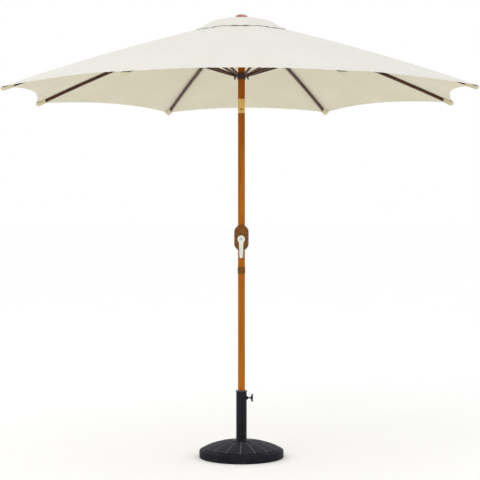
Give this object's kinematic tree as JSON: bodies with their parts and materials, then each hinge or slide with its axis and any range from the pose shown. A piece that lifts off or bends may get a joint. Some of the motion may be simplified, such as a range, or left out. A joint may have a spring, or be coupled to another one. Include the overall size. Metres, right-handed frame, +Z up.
{
  "type": "patio umbrella",
  "caption": "Round-base patio umbrella: crank-lifted folding rib canopy with vent cap, push-button tilt, two-piece wood-look pole, clamped in a tube on a weighted round base.",
  "frame": {"origin": "on the ground at the middle of the round base, on the pole's axis", "axes": "+Z up along the pole; -Y towards the side that the crank faces; +X towards the clamp knob's side"},
  "size_m": [2.4164, 2.4164, 2.397],
  "materials": {
    "base_resin": "woven-look moulded resin",
    "cement": "cast cement",
    "steel": "zinc-plated",
    "base_trim": "satin moulded trim",
    "base_tube": "satin powder coat",
    "dark_steel": "black oxide",
    "ring_plastic": "semi-gloss moulded plastic",
    "black_plastic": "moulded nylon",
    "pole_wood_low": "wood-grain print under clear coat",
    "sleeve_bronze": "dark bronze",
    "pole_wood_mid": "wood-grain print under clear coat",
    "housing_wood": "burl-look moulded plastic",
    "nylon": "natural nylon",
    "handle_grey": "light grey moulded plastic",
    "tilt_gold": "pale gold anodised",
    "pole_wood_top": "wood-grain print under clear coat",
    "hub_brown": "moulded nylon",
    "finial_wood": "turned and varnished",
    "cord": "braided nylon",
    "frame_brown": "dark brown powder coat",
    "canopy_fabric": "woven polyester"
  },
  "bodies": {
    "base": {"base_shell": "base_resin", "base_ballast": "cement", "base_bolt": "steel", "base_flange": "base_trim", "base_tube": "base_tube", "tube_plug": "dark_steel"},
    "clamp_pad": {"clamp_pad": "black_plastic"},
    "clamp_screw": {"clamp_screw": "steel", "clamp_knob": "black_plastic"},
    "reducer_ring": {"reducer_ring": "ring_plastic"},
    "lower_pole": {"lower_pole": "pole_wood_low", "joint_sleeve": "sleeve_bronze"},
    "mid_pole": {"mid_pole": "pole_wood_mid", "crank_front_shell": "housing_wood", "crank_rear_shell": "housing_wood", "shell_screws": "steel", "shaft_bushes": "nylon", "tilt_clevis": "tilt_gold", "tilt_pin": "tilt_gold", "lift_cord_lower": "cord"},
    "crank": {"crank_shaft": "steel", "cord_spool": "black_plastic", "crank_arm": "handle_grey", "crank_screw": "steel"},
    "crank_knob": {"crank_knob": "handle_grey"},
    "upper_pole": {"upper_pole": "pole_wood_top", "tilt_tongue": "tilt_gold", "button_spring": "steel", "top_hub": "hub_brown", "hub_pins": "steel", "finial": "finial_wood", "lift_cord_upper": "cord"},
    "tilt_button": {"tilt_button": "tilt_gold"},
    "top_pulley": {"top_pulley": "nylon"},
    "runner": {"runner": "hub_brown", "runner_pins": "steel"},
    "rib_1": {"rib_1": "frame_brown", "canopy_panel_1": "canopy_fabric"},
    "stretcher_1": {"stretcher_1": "frame_brown"},
    "rib_2": {"rib_2": "frame_brown", "canopy_panel_2": "canopy_fabric"},
    "stretcher_2": {"stretcher_2": "frame_brown"},
    "rib_3": {"rib_3": "frame_brown", "canopy_panel_3": "canopy_fabric"},
    "stretcher_3": {"stretcher_3": "frame_brown"},
    "rib_4": {"rib_4": "frame_brown", "canopy_panel_4": "canopy_fabric"},
    "stretcher_4": {"stretcher_4": "frame_brown"},
    "rib_5": {"rib_5": "frame_brown", "canopy_panel_5": "canopy_fabric"},
    "stretcher_5": {"stretcher_5": "frame_brown"},
    "rib_6": {"rib_6": "frame_brown", "canopy_panel_6": "canopy_fabric"},
    "stretcher_6": {"stretcher_6": "frame_brown"},
    "rib_7": {"rib_7": "frame_brown", "canopy_panel_7": "canopy_fabric"},
    "stretcher_7": {"stretcher_7": "frame_brown"},
    "rib_8": {"rib_8": "frame_brown", "canopy_panel_8": "canopy_fabric"},
    "stretcher_8": {"stretcher_8": "frame_brown"}
  },
  "joints": [
    {"name": "clamp_travel", "type": "slide", "parent": "base", "child": "clamp_pad", "axis": [1, 0, 0], "range_m": [0, 0.0025]},
    {"name": "clamp_turn", "type": "hinge", "parent": "clamp_pad", "child": "clamp_screw", "pos_m": [0.05, 0, 0.32], "axis": [1, 0, 0], "range_deg": [0, 725]},
    {"name": "pole_turn", "type": "hinge", "parent": "base", "child": "reducer_ring", "pos_m": [0, 0, 0.35], "axis": [0, 0, 1], "continuous": true},
    {"name": "pole_lift", "type": "slide", "parent": "reducer_ring", "child": "lower_pole", "axis": [0, 0, 1], "range_m": [0, 0.24]},
    {"name": "pole_split", "type": "slide", "parent": "lower_pole", "child": "mid_pole", "axis": [0, 0, 1], "range_m": [0, 0.1]},
    {"name": "crank_turn", "type": "hinge", "parent": "mid_pole", "child": "crank", "pos_m": [0, 0, 1.181], "axis": [0, -1, 0], "range_deg": [0, 3961]},
    {"name": "crank_knob_spin", "type": "hinge", "parent": "crank", "child": "crank_knob", "pos_m": [0, -0.065, 1.088], "axis": [0, -1, 0], "continuous": true},
    {"name": "canopy_tilt", "type": "hinge", "parent": "mid_pole", "child": "upper_pole", "pos_m": [0, 0, 1.896], "axis": [1, 0, 0], "range_deg": [-38, 0]},
    {"name": "tilt_button_press", "type": "slide", "parent": "upper_pole", "child": "tilt_button", "axis": [0, 1, 0], "range_m": [0, 0.004], "stiffness_N_per_m": 900, "springref_m": -0.002, "deforming": ["button_spring"]},
    {"name": "top_pulley_turn", "type": "hinge", "parent": "upper_pole", "child": "top_pulley", "pos_m": [0, 0.015, 2.35], "axis": [-1, 0, 0], "range_deg": [0, 4739]},
    {"name": "canopy_fold", "type": "hinge", "parent": "upper_pole", "child": "rib_1", "pos_m": [0.03141, 0.01301, 2.35], "axis": [-0.3827, 0.9239, 0], "range_deg": [0, 69.5], "deforming": ["canopy_panel_1", "lift_cord_upper"]},
    {"name": "stretcher_1_fold", "type": "hinge", "parent": "rib_1", "child": "stretcher_1", "pos_m": [0.44896, 0.18597, 2.2075], "axis": [-0.3827, 0.9239, 0], "range_deg": [-140, 0]},
    {"name": "rib_2_fold", "type": "hinge", "parent": "upper_pole", "child": "rib_2", "pos_m": [0.01301, 0.03141, 2.35], "axis": [-0.9239, 0.3827, 0], "range_deg": [0, 70], "deforming": ["canopy_panel_2"]},
    {"name": "stretcher_2_fold", "type": "hinge", "parent": "rib_2", "child": "stretcher_2", "pos_m": [0.18597, 0.44896, 2.2075], "axis": [-0.9239, 0.3827, 0], "range_deg": [-140, 0]},
    {"name": "rib_3_fold", "type": "hinge", "parent": "upper_pole", "child": "rib_3", "pos_m": [-0.01301, 0.03141, 2.35], "axis": [-0.9239, -0.3827, 0], "range_deg": [0, 70], "deforming": ["canopy_panel_3"]},
    {"name": "stretcher_3_fold", "type": "hinge", "parent": "rib_3", "child": "stretcher_3", "pos_m": [-0.18597, 0.44896, 2.2075], "axis": [-0.9239, -0.3827, 0], "range_deg": [-140, 0]},
    {"name": "rib_4_fold", "type": "hinge", "parent": "upper_pole", "child": "rib_4", "pos_m": [-0.03141, 0.01301, 2.35], "axis": [-0.3827, -0.9239, 0], "range_deg": [0, 70], "deforming": ["canopy_panel_4"]},
    {"name": "stretcher_4_fold", "type": "hinge", "parent": "rib_4", "child": "stretcher_4", "pos_m": [-0.44896, 0.18597, 2.2075], "axis": [-0.3827, -0.9239, 0], "range_deg": [-140, 0]},
    {"name": "rib_5_fold", "type": "hinge", "parent": "upper_pole", "child": "rib_5", "pos_m": [-0.03141, -0.01301, 2.35], "axis": [0.3827, -0.9239, 0], "range_deg": [0, 70], "deforming": ["canopy_panel_5"]},
    {"name": "stretcher_5_fold", "type": "hinge", "parent": "rib_5", "child": "stretcher_5", "pos_m": [-0.44896, -0.18597, 2.2075], "axis": [0.3827, -0.9239, 0], "range_deg": [-140, 0]},
    {"name": "rib_6_fold", "type": "hinge", "parent": "upper_pole", "child": "rib_6", "pos_m": [-0.01301, -0.03141, 2.35], "axis": [0.9239, -0.3827, 0], "range_deg": [0, 70], "deforming": ["canopy_panel_6"]},
    {"name": "stretcher_6_fold", "type": "hinge", "parent": "rib_6", "child": "stretcher_6", "pos_m": [-0.18597, -0.44896, 2.2075], "axis": [0.9239, -0.3827, 0], "range_deg": [-140, 0]},
    {"name": "rib_7_fold", "type": "hinge", "parent": "upper_pole", "child": "rib_7", "pos_m": [0.01301, -0.03141, 2.35], "axis": [0.9239, 0.3827, 0], "range_deg": [0, 70], "deforming": ["canopy_panel_7"]},
    {"name": "stretcher_7_fold", "type": "hinge", "parent": "rib_7", "child": "stretcher_7", "pos_m": [0.18597, -0.44896, 2.2075], "axis": [0.9239, 0.3827, 0], "range_deg": [-140, 0]},
    {"name": "rib_8_fold", "type": "hinge", "parent": "upper_pole", "child": "rib_8", "pos_m": [0.03141, -0.01301, 2.35], "axis": [0.3827, 0.9239, 0], "range_deg": [0, 70], "deforming": ["canopy_panel_8"]},
    {"name": "stretcher_8_fold", "type": "hinge", "parent": "rib_8", "child": "stretcher_8", "pos_m": [0.44896, -0.18597, 2.2075], "axis": [0.3827, 0.9239, 0], "range_deg": [-140, 0]},
    {"name": "runner_slide_pivot", "type": "hinge", "parent": "stretcher_1", "child": "runner", "pos_m": [0.03141, 0.01301, 2.065], "axis": [-0.3827, 0.9239, 0], "range_deg": [0, 70]}
  ],
  "couplings": [
    {"joint": "clamp_turn", "follows": "clamp_travel", "rad_per_m": 5026.5},
    {"joint": "crank_turn", "follows": "canopy_fold", "ratio": 56.978},
    {"joint": "top_pulley_turn", "follows": "canopy_fold", "ratio": 68.165},
    {"joint": "stretcher_1_fold", "follows": "canopy_fold", "ratio": -2},
    {"joint": "rib_2_fold", "follows": "canopy_fold", "ratio": 1},
    {"joint": "stretcher_2_fold", "follows": "canopy_fold", "ratio": -2},
    {"joint": "rib_3_fold", "follows": "canopy_fold", "ratio": 1},
    {"joint": "stretcher_3_fold", "follows": "canopy_fold", "ratio": -2},
    {"joint": "rib_4_fold", "follows": "canopy_fold", "ratio": 1},
    {"joint": "stretcher_4_fold", "follows": "canopy_fold", "ratio": -2},
    {"joint": "rib_5_fold", "follows": "canopy_fold", "ratio": 1},
    {"joint": "stretcher_5_fold", "follows": "canopy_fold", "ratio": -2},
    {"joint": "rib_6_fold", "follows": "canopy_fold", "ratio": 1},
    {"joint": "stretcher_6_fold", "follows": "canopy_fold", "ratio": -2},
    {"joint": "rib_7_fold", "follows": "canopy_fold", "ratio": 1},
    {"joint": "stretcher_7_fold", "follows": "canopy_fold", "ratio": -2},
    {"joint": "rib_8_fold", "follows": "canopy_fold", "ratio": 1},
    {"joint": "stretcher_8_fold", "follows": "canopy_fold", "ratio": -2},
    {"joint": "runner_slide_pivot", "follows": "canopy_fold", "ratio": 1}
  ]
}
